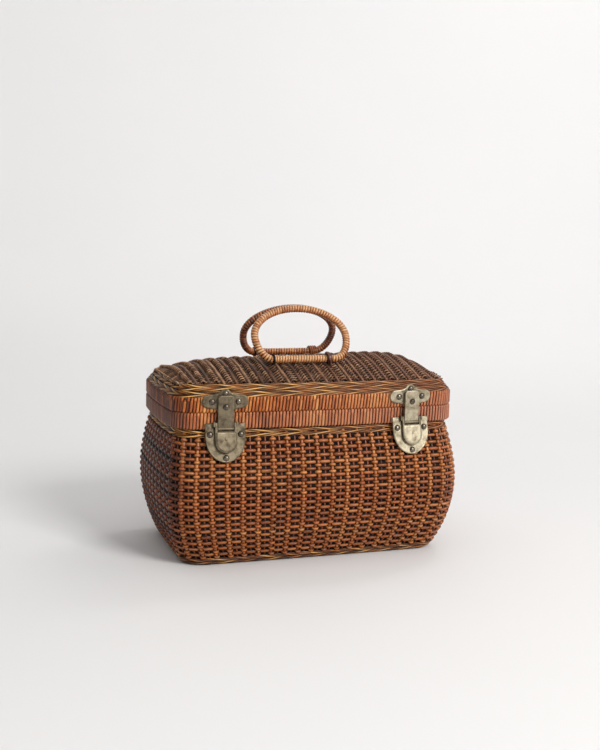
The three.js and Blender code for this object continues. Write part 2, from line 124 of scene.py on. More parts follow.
def plan_point(plan, t, inset=0.0):
    """Points of a plan's outline, anticlockwise, for shares t of the way round. plan is (..., 5)."""
    a, b, corner, bow_front, bow_end = np.moveaxis(np.asarray(plan, float), -1, 0)
    t = np.mod(t, 1.0)
    half_x = a - bow_end - inset
    half_y = b - bow_front - inset
    r = np.maximum(corner - inset, 5)
    angle = np.interp(t, BREAKS, QUARTERS) * math.pi / 2
    x = np.interp(t, BREAKS, CENTRE_X) * (half_x - r) + r * np.cos(angle)
    y = np.interp(t, BREAKS, CENTRE_Y) * (half_y - r) + r * np.sin(angle)
    bowed_x = x * (1 + bow_end / half_x * (1 - (y / half_y) ** 2))
    bowed_y = y * (1 + bow_front / half_y * (1 - (x / half_x) ** 2))
    return bowed_x, bowed_y


def wall_plan(z):
    """The plan of the woven wall at each height: it swells to the belly and draws in to the neck."""
    z = np.asarray(z, float)[..., None]
    low = np.sin(np.clip(z / BELLY_Z, 0, 1) * math.pi / 2) ** LOWER_CURVE_POWER
    high = 1 - np.cos(np.clip((z - BELLY_Z) / (NECK_Z - BELLY_Z), 0, 1) * math.pi / 2)
    lower = FOOT_PLAN + (BELLY_PLAN - FOOT_PLAN) * low
    upper = BELLY_PLAN + (NECK_PLAN - BELLY_PLAN) * high
    return np.where(z <= BELLY_Z, lower, upper)


def wall_surface(t, z, inset=0.0):
    t, z = np.broadcast_arrays(t, z)
    x, y = plan_point(wall_plan(z), t, inset)
    return np.stack([x, y, z], axis=-1)


def hoop_surface(t, z, inset=0.0):
    t, z, inset = np.broadcast_arrays(t, z, inset)
    x, y = plan_point(np.broadcast_to(HOOP_PLAN, t.shape + (5,)), t, inset)
    return np.stack([x, y, z], axis=-1)


def lid_surface(x, y):
    """The lid's upper surface: a vault across the lid that drops away at both ends."""
    edge_x = LID_HALF_X + HOOP_PLAN[4] * (1 - (y / LID_HALF_Y) ** 2)
    edge_y = LID_HALF_Y + HOOP_PLAN[3] * (1 - (x / LID_HALF_X) ** 2)
    along = np.minimum(np.abs(x) / edge_x, 1) ** DOME_END_POWER
    across = np.minimum(np.abs(y) / edge_y, 1) ** DOME_SIDE_POWER
    rise = DOME_HEIGHT * (1 + DOME_LEAN * x / LID_HALF_X) * (1 - along) * (1 - across)
    return np.stack(np.broadcast_arrays(x, y, LID_EDGE_Z + rise), axis=-1)


def unit(v):
    return v / np.maximum(np.linalg.norm(v, axis=-1, keepdims=True), 1e-9)


def surface_normal(surface, u, v, du=0.002, dv=0.5):
    """The normal of surface(u, v), pointing along (change with u) x (change with v)."""
    along = surface(u + du, v) - surface(u - du, v)
    up = surface(u, v + dv) - surface(u, v - dv)
    return unit(np.cross(along, up))


def wandering(count, length, step):
    """count smooth random lines of the given length, with a new value every step samples."""
    knots = max(int(length / step), 2) + 1
    places = np.linspace(0, length - 1, knots)
    values = rng.normal(0, 1, (count, knots))
    return np.stack([np.interp(np.arange(length), places, row) for row in values])


# ---- meshes of strands
class Strands:
    """Collects swept strands into one mesh with the attributes that the cane material reads."""

    def __init__(self):
        self.points = []
        self.faces = []
        self.strand = []
        self.warm = []
        self.count = 0

    def add(self, paths, normals, width, thickness, closed, tint=0.5, warm=0.5, sides=6, flat=0.55):
        """Sweeps an oval, flattened on its inner side, along paths of shape (strands, steps, 3)."""
        paths = np.asarray(paths, float)
        strands, steps = paths.shape[:2]
        if closed:
            tangent = unit(np.roll(paths, -1, axis=1) - np.roll(paths, 1, axis=1))
        else:
            tangent = unit(np.gradient(paths, axis=1))
        side = unit(np.cross(tangent, normals))
        out = np.cross(side, tangent)
        angle = (np.arange(sides) + 0.5) * TAU / sides
        lift = np.sin(angle)
        lift = np.where(lift < 0, lift * flat, lift)
        width = np.broadcast_to(width, (strands, steps))[:, :, None, None]
        thickness = np.broadcast_to(thickness, (strands, steps))[:, :, None, None]
        ring = (paths[:, :, None] + side[:, :, None] * width * np.cos(angle)[None, None, :, None]
                + out[:, :, None] * thickness * lift[None, None, :, None])
        self.points.append(ring.reshape(-1, 3))
        step = np.linalg.norm(np.diff(paths, axis=1), axis=-1)
        along = np.concatenate([np.zeros((strands, 1)), np.cumsum(step, axis=1)], axis=1)
        along = along + np.arange(strands)[:, None] * 137.0
        record = np.empty((strands, steps, sides, 3))
        record[..., 0] = along[:, :, None]
        record[..., 1] = (0.5 - 0.5 * np.cos(angle))[None, None, :]
        record[..., 2] = np.broadcast_to(tint, (strands, steps))[:, :, None]
        self.strand.append(record.reshape(-1, 3))
        self.warm.append(np.repeat(np.broadcast_to(warm, (strands, steps)).reshape(-1), sides))
        self._skin(strands, steps, sides, closed)

    def _skin(self, strands, steps, sides, closed):
        grid = self.count + np.arange(strands * steps * sides).reshape(strands, steps, sides)
        after = np.roll(grid, -1, axis=1)
        quads = np.stack([grid, after, np.roll(after, -1, axis=2), np.roll(grid, -1, axis=2)], axis=-1)
        if not closed:
            quads = quads[:, :-1]
            self.faces.append(grid[:, 0])
            self.faces.append(grid[:, -1, ::-1])
        self.faces.append(quads.reshape(-1, 4))
        self.count += strands * steps * sides

    def build(self, name, material):
        points = np.concatenate(self.points) * MM
        faces = [np.ascontiguousarray(f) for f in self.faces]
        sizes = np.concatenate([np.full(len(f), f.shape[1]) for f in faces])
        corners = np.concatenate([f.reshape(-1) for f in faces])
        mesh = bpy.data.meshes.new(name)
        mesh.vertices.add(len(points))
        mesh.vertices.foreach_set("co", points.astype(np.float32).reshape(-1))
        mesh.loops.add(len(corners))
        mesh.loops.foreach_set("vertex_index", corners.astype(np.int32))
        mesh.polygons.add(len(sizes))
        starts = np.concatenate([[0], np.cumsum(sizes)[:-1]])
        mesh.polygons.foreach_set("loop_start", starts.astype(np.int32))
        strand = mesh.attributes.new("strand", "FLOAT_VECTOR", "POINT")
        strand.data.foreach_set("vector", np.concatenate(self.strand).astype(np.float32).reshape(-1))
        warm = mesh.attributes.new("warm", "FLOAT", "POINT")
        warm.data.foreach_set("value", np.concatenate(self.warm).astype(np.float32))
        mesh.update(calc_edges=True)
        mesh.validate()
        mesh.shade_smooth()
        return place(name, mesh, material)


def single_strand(name, material, path, normal, width, thickness, closed, tint=0.3, warm=0.3, **shape):
    """A piece made of one strand."""
    strands = Strands()
    strands.add(path[None], normal[None], width, thickness, closed, tint, warm, **shape)
    return strands.build(name, material)


def place(name, mesh, material):
    piece = bpy.data.objects.new(name, mesh)
    bpy.context.scene.collection.objects.link(piece)
    mesh.materials.append(material)
    return piece


def faces_mesh(name, points, faces):
    mesh = bpy.data.meshes.new(name)
    mesh.from_pydata([tuple(p) for p in points], [], faces)
    mesh.update()
    mesh.shade_smooth()
    return mesh


def ring_faces(rings, count):
    """Quads between neighbouring rings of count points each."""
    starts = [(ring * count, k, (k + 1) % count) for ring in range(rings - 1) for k in range(count)]
    return [(r + k, r + after, r + after + count, r + k + count) for r, k, after in starts]


def spaced(line, count):
    """count evenly spaced points of a flat line, up to just before its end, and the line's length."""
    length = np.concatenate([[0], np.cumsum(np.linalg.norm(np.diff(line, axis=0), axis=1))])
    places = np.arange(count) / count * length[-1]
    points = [np.interp(places, length, line[:, k]) for k in (0, 1)]
    return np.stack(points, axis=1), length[-1]


def settle(piece, body, slot, *nodes):
    """Says which body a piece rides on and which CAD nodes it stands for, and hides those nodes; slot, its
    finish, is not used.
    """
    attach(piece, body)
    if nodes:
        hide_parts(*nodes)


# ---- materials
class Graph:
    """Writes a material's nodes. Inputs go by name, or as i0, i1 and so on where names repeat."""

    def __init__(self, name):
        self.material = bpy.data.materials.new(name)
        self.material.use_nodes = True
        self.tree = self.material.node_tree
        self.shader = self.tree.nodes["Principled BSDF"]

    def node(self, kind, settings=None, **inputs):
        node = self.tree.nodes.new(kind)
        for key, value in (settings or {}).items():
            setattr(node, key, value)
        for key, value in inputs.items():
            self.feed(node.inputs[int(key[1:]) if key[1:].isdigit() else key], value)
        return node

    def feed(self, socket, value):
        if isinstance(value, bpy.types.NodeSocket):
            self.tree.links.new(value, socket)
        else:
            socket.default_value = value

    def math(self, operation, a, b=0.0):
        return self.node("ShaderNodeMath", {"operation": operation}, i0=a, i1=b).outputs[0]

    def times(self, a, b):
        return self.math("MULTIPLY", a, b)

    def noise(self, vector, scale, detail=2.0, roughness=0.5):
        return self.node("ShaderNodeTexNoise", None, Vector=vector, Scale=scale, Detail=detail,
                         Roughness=roughness).outputs["Fac"]

    def mix(self, share, a, b):
        node = self.node("ShaderNodeMix", {"data_type": "RGBA"})
        self.feed(node.inputs[0], share)
        self.feed(node.inputs[6], a)
        self.feed(node.inputs[7], b)
        return node.outputs[2]

    def stretch(self, value, low, high, to_low=0.0, to_high=1.0):
        ends = {"i1": low, "i2": high, "i3": to_low, "i4": to_high}
        return self.node("ShaderNodeMapRange", None, i0=value, **ends).outputs[0]

    def combine(self, x, y, z):
        return self.node("ShaderNodeCombineXYZ", None, i0=x, i1=y, i2=z).outputs[0]

    def bump(self, height, strength, distance):
        node = self.node("ShaderNodeBump", None, Height=height, Strength=strength, Distance=distance)
        self.tree.links.new(node.outputs[0], self.shader.inputs["Normal"])


def rgba(r, g, b):
    """A colour given in 0 to 255 screen values, as linear light."""
    screen = [c / 255 for c in (r, g, b)]
    return tuple(c / 12.92 if c < 0.04 else ((c + 0.055) / 1.055) ** 2.4 for c in screen) + (1.0,)


def cane(name, dark, middle, light, warm_tone, roughness=0.42, coat=0.25, edge=0.7, under=0.0, shine=0.5):
    """Varnished cane: colour runs with the strand and fibres lie along it; painted shade darkens its edges and
    underside.

    edge is how dark the painted shade makes both edges, under how dark the painted shade makes the underside,
    and shine the strength of its reflection.
    """
    g = Graph(name)
    strand = g.node("ShaderNodeAttribute", {"attribute_name": "strand"}).outputs["Vector"]
    parts = g.node("ShaderNodeSeparateXYZ", None, i0=strand).outputs
    warm = g.node("ShaderNodeAttribute", {"attribute_name": "warm"}).outputs["Fac"]
    along, across, tint = parts[0], parts[1], parts[2]
    streak_space = g.combine(g.times(along, 0.09), g.times(across, 7.0), g.times(tint, 9.0))
    streaks = g.noise(streak_space, 3.0, 4.0, 0.6)
    blotch_space = g.combine(g.times(along, 0.035), across, g.times(tint, 5.0))
    blotches = g.noise(blotch_space, 2.0, 3.0, 0.6)
    tone = g.math("ADD", tint, g.times(g.math("SUBTRACT", blotches, 0.5), 0.9))
    tone = g.math("ADD", tone, g.times(g.math("SUBTRACT", streaks, 0.5), 0.5))
    ramp = g.node("ShaderNodeValToRGB", None, Fac=tone)
    ramp.color_ramp.elements[0].position = 0.0
    ramp.color_ramp.elements[0].color = rgba(18, 8, 4)
    ramp.color_ramp.elements[1].position = 0.92
    ramp.color_ramp.elements[1].color = light
    ramp.color_ramp.elements.new(0.25).color = dark
    ramp.color_ramp.elements.new(0.55).color = middle
    colour = g.mix(g.stretch(warm, 0.0, 1.0), ramp.outputs[0], warm_tone)
    position = g.node("ShaderNodeNewGeometry").outputs["Position"]
    grime = g.stretch(g.noise(position, 60.0, 3.0, 0.6), 0.35, 0.7)
    colour = g.mix(g.times(grime, 0.3), colour, dark)
    # Painted shade: the cane darkens towards both edges, by edge, and on its underside, by under.
    from_middle = g.math("ABSOLUTE", g.math("SUBTRACT", across, 0.5))
    painted_edge_shade = g.times(g.stretch(from_middle, 0.16, 0.44), edge)
    below = g.times(g.stretch(across, 0.55, 0.2), under)
    colour = g.mix(g.math("MAXIMUM", painted_edge_shade, below), colour, rgba(20, 9, 5))
    g.feed(g.shader.inputs["Base Color"], colour)
    g.feed(g.shader.inputs["Roughness"], g.stretch(streaks, 0.2, 0.8, roughness - 0.1, roughness + 0.14))
    g.shader.inputs["Specular IOR Level"].default_value = shine
    g.shader.inputs["Coat Weight"].default_value = coat
    g.shader.inputs["Coat Roughness"].default_value = 0.22
    g.bump(streaks, 0.5, 0.0003)
    return g.material


def nickel(name, base, stain, roughness=0.44):
    """Old nickel plate, dulled and stained in patches, with small pits."""
    g = Graph(name)
    position = g.node("ShaderNodeNewGeometry").outputs["Position"]
    patches = g.noise(position, 140.0, 4.0, 0.65)
    fine = g.noise(position, 1800.0, 3.0, 0.7)
    colour = g.mix(g.stretch(patches, 0.4, 0.72), base, stain)
    colour = g.mix(g.stretch(fine, 0.6, 0.8, 0.0, 0.5), colour, stain)
    g.feed(g.shader.inputs["Base Color"], colour)
    g.feed(g.shader.inputs["Roughness"], g.stretch(patches, 0.3, 0.7, roughness - 0.08, roughness + 0.2))
    g.shader.inputs["Metallic"].default_value = 0.85
    g.bump(g.math("ADD", patches, g.times(fine, 0.4)), 0.35, 0.0003)
    return g.material


# edge and under set the painted shade on the canes' edges and on the weavers' undersides.
WALL_CANE = cane("wall_cane", rgba(64, 30, 13), rgba(154, 84, 38), rgba(222, 148, 84), rgba(192, 94, 40),
                 roughness=0.36, coat=0.12, edge=0.8, under=0.75, shine=0.3)
RIB_CANE = cane("rib_cane", rgba(72, 32, 13), rgba(174, 94, 42), rgba(238, 162, 94), rgba(192, 94, 42),
                roughness=0.34, coat=0.15, edge=0.6, shine=0.35)
LID_CANE = cane("lid_cane", rgba(38, 22, 14), rgba(122, 82, 56), rgba(226, 176, 134), rgba(150, 102, 80),
                roughness=0.5, coat=0.0, edge=0.8, shine=0.25)
BRAID_CANE = cane("braid_cane", rgba(54, 26, 10), rgba(182, 110, 50), rgba(248, 190, 112), rgba(166, 102, 68),
                  coat=0.0, edge=0.75, shine=0.3)
HOOP_CANE = cane("hoop_cane", rgba(96, 42, 14), rgba(194, 102, 40), rgba(242, 170, 94), rgba(186, 122, 94),
                 roughness=0.34, coat=0.12, edge=0.55, shine=0.35)
HANDLE_CANE = cane("handle_cane", rgba(84, 38, 16), rgba(186, 104, 50), rgba(248, 190, 130), rgba(160, 84, 44),
                   roughness=0.24, coat=0.5, edge=0.42)
# Near black: painted shade for the bands behind the weave, braids and wraps, and the real dark cane of the left
# lashings.
SHADE_AND_DARK_CANE = cane("shade_and_dark_cane", rgba(16, 8, 5), rgba(30, 14, 9), rgba(44, 22, 13), rgba(30, 14, 8),
                 roughness=0.7, coat=0.0, edge=0.3, shine=0.2)
KNOT_CANE = cane("knot_cane", rgba(40, 20, 12), rgba(104, 56, 34), rgba(150, 90, 58), rgba(84, 42, 26))
NICKEL = nickel("aged_nickel", rgba(128, 116, 95), rgba(70, 60, 44))
PALE_NICKEL = nickel("pale_nickel", rgba(186, 176, 152), rgba(116, 104, 82))
RIVET = nickel("dark_rivet", rgba(130, 120, 106), rgba(60, 52, 44), 0.24)


# Painted shade: dark bands that close the gaps of the weave are four-sided and all one tint.
SHADE_BAND = {"tint": 0.3, "warm": 0.3, "sides": 4, "flat": 1.0}
SHADE_BAND_HALF_DEPTH = 0.25


# ---- the wall
def rib_share(rib):
    """The share of the way round of each rib number. A rib stands in the middle of every corner."""
    numbers = np.array([0, END_INTERVALS, END_INTERVALS + FRONT_INTERVALS,
                        2 * END_INTERVALS + FRONT_INTERVALS, 2 * (END_INTERVALS + FRONT_INTERVALS)])
    shares = np.array(CORNER_MIDDLES + [CORNER_MIDDLES[0] + 1])
    return np.interp(rib, numbers, shares)


RIBS = 2 * (FRONT_INTERVALS + END_INTERVALS)
CORNER_RIBS = (0, END_INTERVALS, END_INTERVALS + FRONT_INTERVALS, 2 * END_INTERVALS + FRONT_INTERVALS)
STEPS_IN_INTERVAL = np.array([0, 0.08, 0.135, 0.19, 0.26, 0.5, 0.74, 0.81, 0.865, 0.92])
CORNER_RIB_GROWTH = 1.3
RIB_HALF_WIDTH = 1.85
RIB_HALF_DEPTH = 1.6
STAKE_HALF_WIDTH = 0.95
STAKE_HALF_DEPTH = 0.6
WEAVER_HALF_WIDTH = 2.0
WEAVER_HALF_DEPTH = 0.9
OVER_STAKE = STAKE_HALF_DEPTH + WEAVER_HALF_DEPTH * 0.8
DEPTH_SHADE = 0.3
LEFT_END_SHADE_AND_AGE = 0.72


def depth_shade_and_highlight(offset):
    """Painted shade and painted highlight: strands are darker where they pass behind, and lighter where they
    stand proud over a rib.
    """
    return DEPTH_SHADE * np.minimum(offset, 0.4) + 0.16 * np.clip(offset - 1.4, 0, 1)


def left_end_shade_and_age(path, start=139):
    """The left end, which faces away from the window, is painted darker than the rest: mostly painted shade,
    partly older varnish.
    """
    return LEFT_END_SHADE_AND_AGE * np.clip((-path[..., 0] - start) / 10, 0, 1)


def weave_offset(interval, row_side, rib_depth=RIB_HALF_DEPTH, rib_rise=0.0):
    """How far a weaver stands out, from its place between two ribs and the side it passes the ribs on."""
    over_rib = rib_depth + WEAVER_HALF_DEPTH * 0.8
    from_rib = 0.5 - np.abs(np.mod(interval, 1) - 0.5)
    share = np.clip((from_rib - 0.08) / 0.17, 0, 1)
    share = share * share * (3 - 2 * share)
    return (rib_rise + row_side * over_rib) * (1 - share) - row_side * OVER_STAKE * share


def wall_weavers():
    """Rows of weavers that pass over and under the ribs by turns, in three pieces from low to high."""
    low = WALL_LOW[2] + ROW_PITCH / 2
    rows = int(round((WALL_HIGH[2] - low) / ROW_PITCH))
    rib = (np.arange(RIBS)[:, None] + STEPS_IN_INTERVAL[None]).reshape(-1)
    t = rib_share(rib)
    for part, chunk in enumerate(np.array_split(np.arange(rows), 3), 1):
        z = low + chunk[:, None] * ROW_PITCH + wandering(len(chunk), len(t), 60) * 0.12
        normal = surface_normal(wall_surface, np.broadcast_to(t, z.shape), z)
        side = np.where(chunk % 2 == 0, 1, -1)[:, None]
        offset = weave_offset(rib[None], side) - WEAVE_INSET
        path = wall_surface(np.broadcast_to(t, z.shape), z) + normal * offset[..., None]
        width = WEAVER_HALF_WIDTH * (1 + 0.05 * wandering(len(chunk), len(t), 12))
        tint = 0.5 + 0.1 * rng.normal(0, 1, (len(chunk), 1)) + 0.1 * wandering(len(chunk), len(t), 25)
        tint = tint + depth_shade_and_highlight(offset + WEAVE_INSET) - left_end_shade_and_age(path)
        warm = np.clip(0.3 + 0.2 * wandering(len(chunk), len(t), 90), 0, 1)
        strands = Strands()
        strands.add(path, normal, width, WEAVER_HALF_DEPTH, True, tint, warm, flat=1.0)
        yield strands.build(f"wall_weavers_{part}", WALL_CANE)


def wall_uprights():
    """The thick ribs and the thin stakes between them."""
    z = np.linspace(5, NECK_Z - 2, 30)[None]
    for name, first, half_width, half_depth in (
            ("wall_ribs", 0.0, RIB_HALF_WIDTH, RIB_HALF_DEPTH),
            ("wall_stakes", 0.5, STAKE_HALF_WIDTH, STAKE_HALF_DEPTH)):
        number = np.arange(RIBS) + first
        t = rib_share(number)[:, None] + wandering(RIBS, z.shape[1], 10) * 0.0004
        grid = np.broadcast_to(z, t.shape)
        normal = surface_normal(wall_surface, t, grid)
        path = wall_surface(t, grid) - normal * WEAVE_INSET
        width = np.full((RIBS, 1), half_width)
        if first == 0:
            width[list(CORNER_RIBS)] *= CORNER_RIB_GROWTH
        tint = (0.68 if first == 0 else 0.35) + 0.1 * rng.normal(0, 1, (RIBS, 1))
        tint = tint + 0.08 * wandering(RIBS, z.shape[1], 6) - left_end_shade_and_age(path)
        warm = np.clip(0.3 + 0.15 * rng.normal(0, 1, (RIBS, 1)), 0, 1)
        strands = Strands()
        strands.add(path, normal, width, half_depth, False, tint, warm, sides=8, flat=1.0)
        yield strands.build(name, RIB_CANE)


def wall_shade_band():
    """Painted shade: dark bands in the middle of the weave, behind its openings."""
    z = np.arange(WALL_LOW[2] + 1, WALL_HIGH[2] + 2, 6.0)[:, None]
    t = np.arange(180)[None] / 180
    t, z = np.broadcast_arrays(t, z)
    normal = surface_normal(wall_surface, t, z)
    path = wall_surface(t, z) - normal * WEAVE_INSET
    strands = Strands()
    strands.add(path, normal, 4.6, SHADE_BAND_HALF_DEPTH, True, **SHADE_BAND)
    return strands.build("wall_shade_band", SHADE_AND_DARK_CANE)


def make_wall():
    settle(wall_shade_band(), "basket", "weave", "body_wall")
    for pieces in (wall_weavers(), wall_uprights()):
        for piece in pieces:
            settle(piece, "basket", "weave", "body_wall")


# ---- flat panels: the lid and the base
def panel_half_length(y, size):
    """How far a rounded panel reaches along X at each y."""
    half_x, half_y, corner, bow_end, _ = size
    beyond = np.clip(np.abs(y) - (half_y - corner), 0, corner)
    straight = half_x - corner + np.sqrt(np.maximum(corner ** 2 - beyond ** 2, 0))
    return straight + bow_end * (1 - (y / half_y) ** 2)


def woven_panel(name, surface, size, intervals, material, tint, warm,
                rib_depth=RIB_HALF_DEPTH, rib_rise=0.0, end_tuck=0.0, row_pitch=ROW_PITCH):
    """Ribs run across the panel and weavers along it, tucked a little under its border at the ends.

    size is the half length, the half depth, the corner radius, and how far the ends and the sides bow out.
    """
    half_x, half_y, _, bow_x, bow_y = size
    pitch = 2 * half_x / intervals
    row_count = int(2 * (half_y + bow_y - 1.5) / row_pitch)
    row_y = (np.arange(row_count) - (row_count - 1) / 2) * row_pitch
    half_width = WEAVER_HALF_WIDTH * row_pitch / ROW_PITCH
    strands = Strands()
    shares = (np.arange(intervals)[:, None] + STEPS_IN_INTERVAL[None]).reshape(-1) / intervals * 2 - 1
    for index, y in enumerate(row_y):
        reach = panel_half_length(min(abs(y), half_y), size) + end_tuck
        if abs(y) > half_y:
            reach *= 0.9 * math.sqrt(max(1 - (abs(y) - half_y) / bow_y, 0.05))
        x = shares * (half_x + bow_x + end_tuck)
        x = x[np.abs(x) < reach]
        if len(x) < 8:
            continue
        ys = np.full(len(x), y) + wandering(1, len(x), 40)[0] * 0.2
        rib = (x / pitch) + intervals / 2 + 0.5
        side = 1 if index % 2 else -1
        normal = panel_normal(surface, x, ys)
        offset = weave_offset(rib, side, rib_depth, rib_rise)
        path = surface(x, ys) + normal * (offset - WEAVE_INSET)[..., None]
        row_tint = tint + 0.08 * rng.normal() + 0.1 * wandering(1, len(x), 25) + depth_shade_and_highlight(offset)
        row_warm = np.clip(warm(x, ys) + 0.15 * wandering(1, len(x), 60), 0, 1)
        strands.add(path[None], normal[None], half_width, WEAVER_HALF_DEPTH, False, row_tint, row_warm)
    add_panel_ribs(strands, surface, size, intervals, tint, warm, rib_depth, rib_rise)
    return strands.build(name, material)


def panel_normal(surface, x, y):
    dx = surface(x + 0.5, y) - surface(x - 0.5, y)
    dy = surface(x, y + 0.5) - surface(x, y - 0.5)
    return unit(np.cross(dx, dy))


def add_panel_ribs(strands, surface, size, intervals, tint, warm, rib_depth, rib_rise):
    """Thick ribs and thin stakes by turns, from the front of the panel to its back."""
    half_x, half_y, corner, _, bow_y = size
    pitch = 2 * half_x / intervals
    for number in range(1, 2 * intervals - 2):
        x0 = (number + 1) * pitch / 2 - half_x
        thick = (number % 2 == 0) == (intervals % 2 == 0)
        beyond = max(abs(x0) - (half_x - corner), 0)
        bow = bow_y * (1 - (x0 / half_x) ** 2)
        reach = half_y - corner + math.sqrt(max(corner ** 2 - beyond ** 2, 1)) + bow - 1.5
        y = np.linspace(-reach, reach, 30)
        x = np.full_like(y, x0) + wandering(1, 30, 10)[0] * 0.25
        normal = panel_normal(surface, x, y)
        path = surface(x, y) + normal * ((rib_rise if thick else 0) - WEAVE_INSET)
        width = RIB_HALF_WIDTH if thick else STAKE_HALF_WIDTH
        depth = rib_depth if thick else STAKE_HALF_DEPTH
        rib_tint = tint + 0.1 * rng.normal()
        strands.add(path[None], normal[None], width, depth, False, rib_tint, warm(x, y)[None], sides=8,
                    flat=1.0)


def lid_shade_band():
    """Painted shade: dark bands in the middle of the lid's weave and under its border, so that it has no open
    slits.
    """
    half_width = 3.2
    strands = Strands()
    edge = LID_HALF_Y + HOOP_PLAN[3]
    for y in np.arange(-edge + 1.5, edge, 4.0):
        reach = panel_half_length(min(abs(y), LID_HALF_Y), LID_SIZE)
        x = np.linspace(-reach, reach, 60)
        x = x[np.abs(y) < LID_HALF_Y + HOOP_PLAN[3] * (1 - np.minimum(np.abs(x) / LID_HALF_X, 1) ** 2)]
        ys = np.full_like(x, y)
        normal = panel_normal(lid_surface, x, ys)
        path = lid_surface(x, ys) - normal * WEAVE_INSET
        strands.add(path[None], normal[None], half_width, SHADE_BAND_HALF_DEPTH, False, **SHADE_BAND)
    t = np.arange(200) / 200
    ring = hoop_surface(t, np.full(200, LID_EDGE_Z - WEAVE_INSET - 0.6), 11.2)
    up = np.broadcast_to([0.0, 0, 1], ring.shape)
    strands.add(ring[None], up[None], half_width, 0.3, True, **SHADE_BAND)
    return strands.build("lid_shade_band", SHADE_AND_DARK_CANE)


def make_lid_panel():
    piece = woven_panel("lid_weave", lid_surface, LID_SIZE, LID_INTERVALS, LID_CANE, 0.46,
                        lambda x, y: np.clip(0.2 + 0.5 * x / LID_HALF_X, 0, 1),
                        rib_depth=1.9, rib_rise=1.2, end_tuck=3.0, row_pitch=LID_ROW_PITCH)
    settle(piece, "lid", "lid_weave", "lid_panel")
    settle(lid_shade_band(), "lid", "lid_weave", "lid_panel")


def make_base_panel():
    low, high = span("woven_base")
    level = high[2] - 0.2

    def flat(x, y):
        return np.stack(np.broadcast_arrays(x, y, level), axis=-1)

    size = ((high[0] - low[0]) / 2 - 0.5, (high[1] - low[1]) / 2 - 0.5, 12, 0.01, 0.01)
    piece = woven_panel("base_weave", flat, size, 17, WALL_CANE, 0.42, lambda x, y: np.full_like(x, 0.3))
    settle(piece, "basket", "weave", "woven_base")


# ---- braids and the foot
ROPE_TINTS = (0.38, -0.4, 0.16, -0.16)
ROPE_FLATNESS = 0.8
STEPS_PER_TURN = 24
BACKING_INSET = 3.4
INSIDE_INSET = 4.6


def add_rope(strands, surface, z_middle, hand, tint, warm, pitch=58.0, turn_radius=1.05, cane_radius=0.85):
    """A rope of four canes that runs round the basket, twisted to the left or the right."""
    turns = int(round(BELLY_PERIMETER * 0.9 / pitch))
    steps = turns * STEPS_PER_TURN
    t = np.arange(steps) / steps
    z = np.full(steps, z_middle)
    normal = surface_normal(surface, t, z, 0.001)
    along = unit(surface(t + 0.001, z) - surface(t - 0.001, z))
    rise = unit(np.cross(normal, along))
    middle = surface(t, z) - normal * (turn_radius * ROPE_FLATNESS + cane_radius)
    for number, cane_tint in enumerate(ROPE_TINTS):
        angle = hand * TAU * turns * t + number * TAU / len(ROPE_TINTS)
        out = normal * np.cos(angle)[:, None] * ROPE_FLATNESS + rise * np.sin(angle)[:, None]
        path = middle + out * turn_radius
        shade = tint + cane_tint + 0.12 * wandering(1, steps, 30)
        # Painted shade: each cane is lighter where it faces out of the rope and darker where it turns into it.
        shade = shade + 0.24 * np.cos(angle)
        strands.add(path[None], unit(out)[None], cane_radius, cane_radius, True, shade, warm(path)[None],
                    flat=1.0)


def herringbone(name, surface, low, high, tint, warm, material, **rope):
    """Two ropes of opposite twist, one above the other."""
    strands = Strands()
    for share, hand in ((0.25, 1), (0.75, -1)):
        add_rope(strands, surface, low + (high - low) * share, hand, tint, warm, **rope)
    return strands.build(name, material)


def braid_backing(name, surface, low, high):
    """Painted shade: a dark band behind a braid, a little taller than the braid, so that no light shows past it.
    """
    t = np.arange(200) / 200
    z = np.full(200, (low + high) / 2)
    normal = surface_normal(surface, t, z)
    path = surface(t, z) - normal * BACKING_INSET
    return single_strand(name, SHADE_AND_DARK_CANE, path, normal, (high - low) * 0.68, 0.9, True)


def lid_border_surface(t, z):
    """The lid's border leans inwards as it climbs from the hoop to the lid panel."""
    low = span("lid_hoop")[1][2]
    slope = (LID_EDGE_INSET - 0.5) / (LID_EDGE_Z - 0.3 - low)
    return hoop_surface(t, z, (z - low) * slope)


def golden_to_pink(points):
    """Golden towards the front left corner, pinkish brown towards the right."""
    return np.clip(0.15 + 0.75 * (points[..., 0] + 60) / 200, 0.05, 0.9)


def inner_face(surface):
    """The same border, on the inside of the basket."""
    return lambda t, z: surface(t, z) - surface_normal(surface, t, z) * INSIDE_INSET


def make_borders():
    for name, surface, body, tint, backing_reach in (
            ("lid_braid_lower", lid_border_surface, "lid", 0.48, 0),
            ("lid_braid_upper", lid_border_surface, "lid", 0.54, 0),
            ("body_top_braid", wall_surface, "basket", 0.56, 4)):
        low, high = span(name)[0][2], span(name)[1][2]
        look = (golden_to_pink, BRAID_CANE)
        # The braid inside the basket is painted darker, by 0.15 of tint, as painted shade.
        for piece in (
                herringbone(f"{name}_cane", surface, low, high, tint, *look),
                braid_backing(f"{name}_core", surface, low, high + backing_reach),
                herringbone(f"{name}_inside", inner_face(surface), low, high, tint - 0.15, *look)):
            settle(piece, body, "braid", name)


def make_foot():
    low, high = span("foot_border")
    piece = herringbone("foot_border_cane", wall_surface, low[2] + 0.1, high[2] + 0.3, 0.28,
                        lambda p: np.full(p.shape[:-1], 0.3), BRAID_CANE, turn_radius=0.9, pitch=48.0)
    settle(piece, "basket", "braid", "foot_border")


# ---- wrapped hoops
HOOP_HALF_THICKNESS = 3.0
HOOP_SHADE_AND_AGE_SHARE = 0.45


